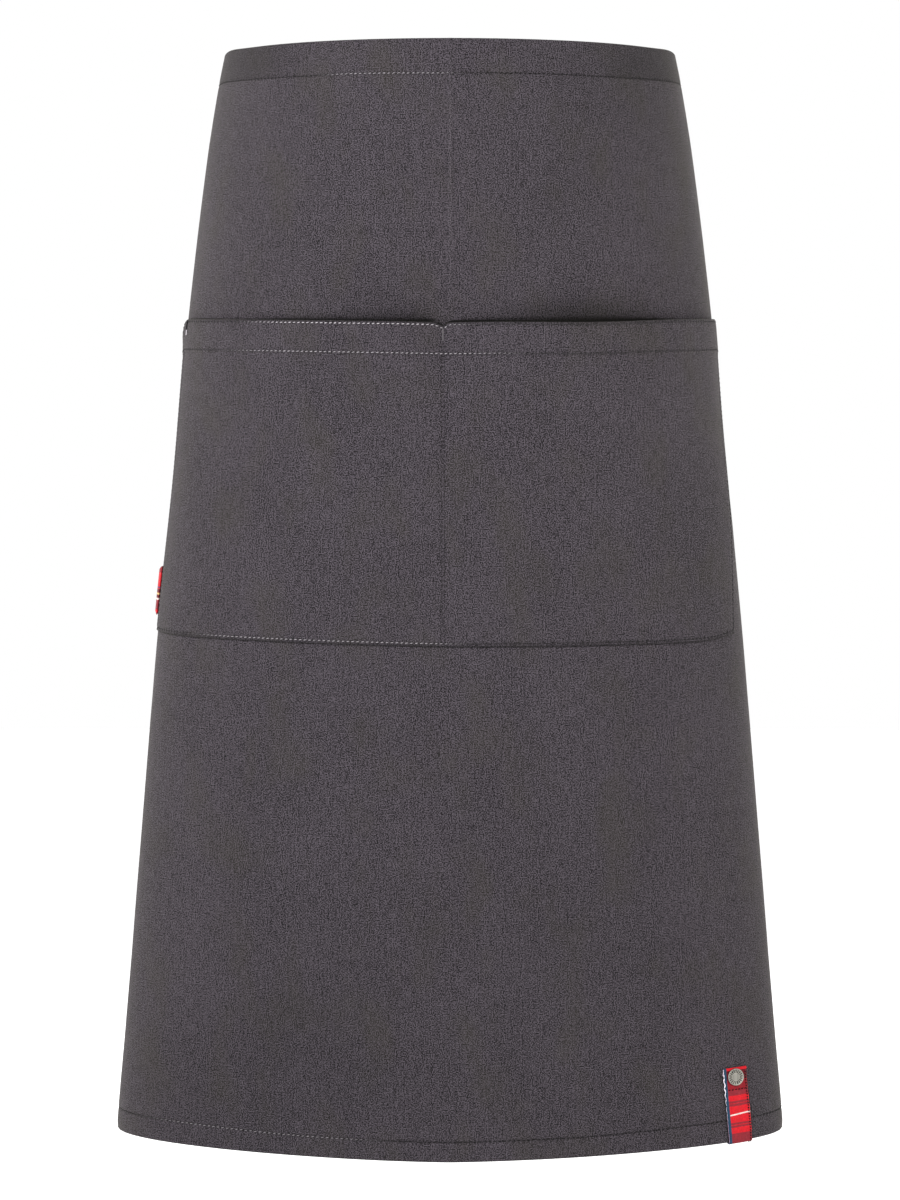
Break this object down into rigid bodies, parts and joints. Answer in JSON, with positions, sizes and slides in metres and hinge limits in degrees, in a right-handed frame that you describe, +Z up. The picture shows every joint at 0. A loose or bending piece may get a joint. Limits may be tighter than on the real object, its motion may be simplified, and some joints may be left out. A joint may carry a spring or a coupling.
{
  "type": "bistro apron",
  "caption": "Long grey waist apron in its worn shape, with a wide divided front pocket, a striped ribbon tab with a metal stud at the hem, a small side tag and tapes tied at the back.",
  "frame": {"origin": "centre of the waist opening, level with the top edge at the centre front, where the apron is tied round the waist", "axes": "+Z up, the front faces -Y, +X to the right of someone who looks at the front"},
  "size_m": [0.4856, 0.3099, 0.8],
  "materials": {
    "apron_cloth": "matt twill weave in two greys, with a faint purple cast",
    "striped_ribbon": "woven ribbon, red with maroon and cream stripes and one blue edge",
    "pewter": "dull cast metal, darker in the hollows"
  },
  "bodies": {
    "root": {"panel": "apron_cloth", "pocket": "apron_cloth", "hem_tab": "striped_ribbon", "stud_cap": "pewter", "stud_back": "pewter", "side_tag": "striped_ribbon", "tie_left": "apron_cloth", "tie_right": "apron_cloth", "tie_knot": "apron_cloth"}
  },
  "joints": []
}
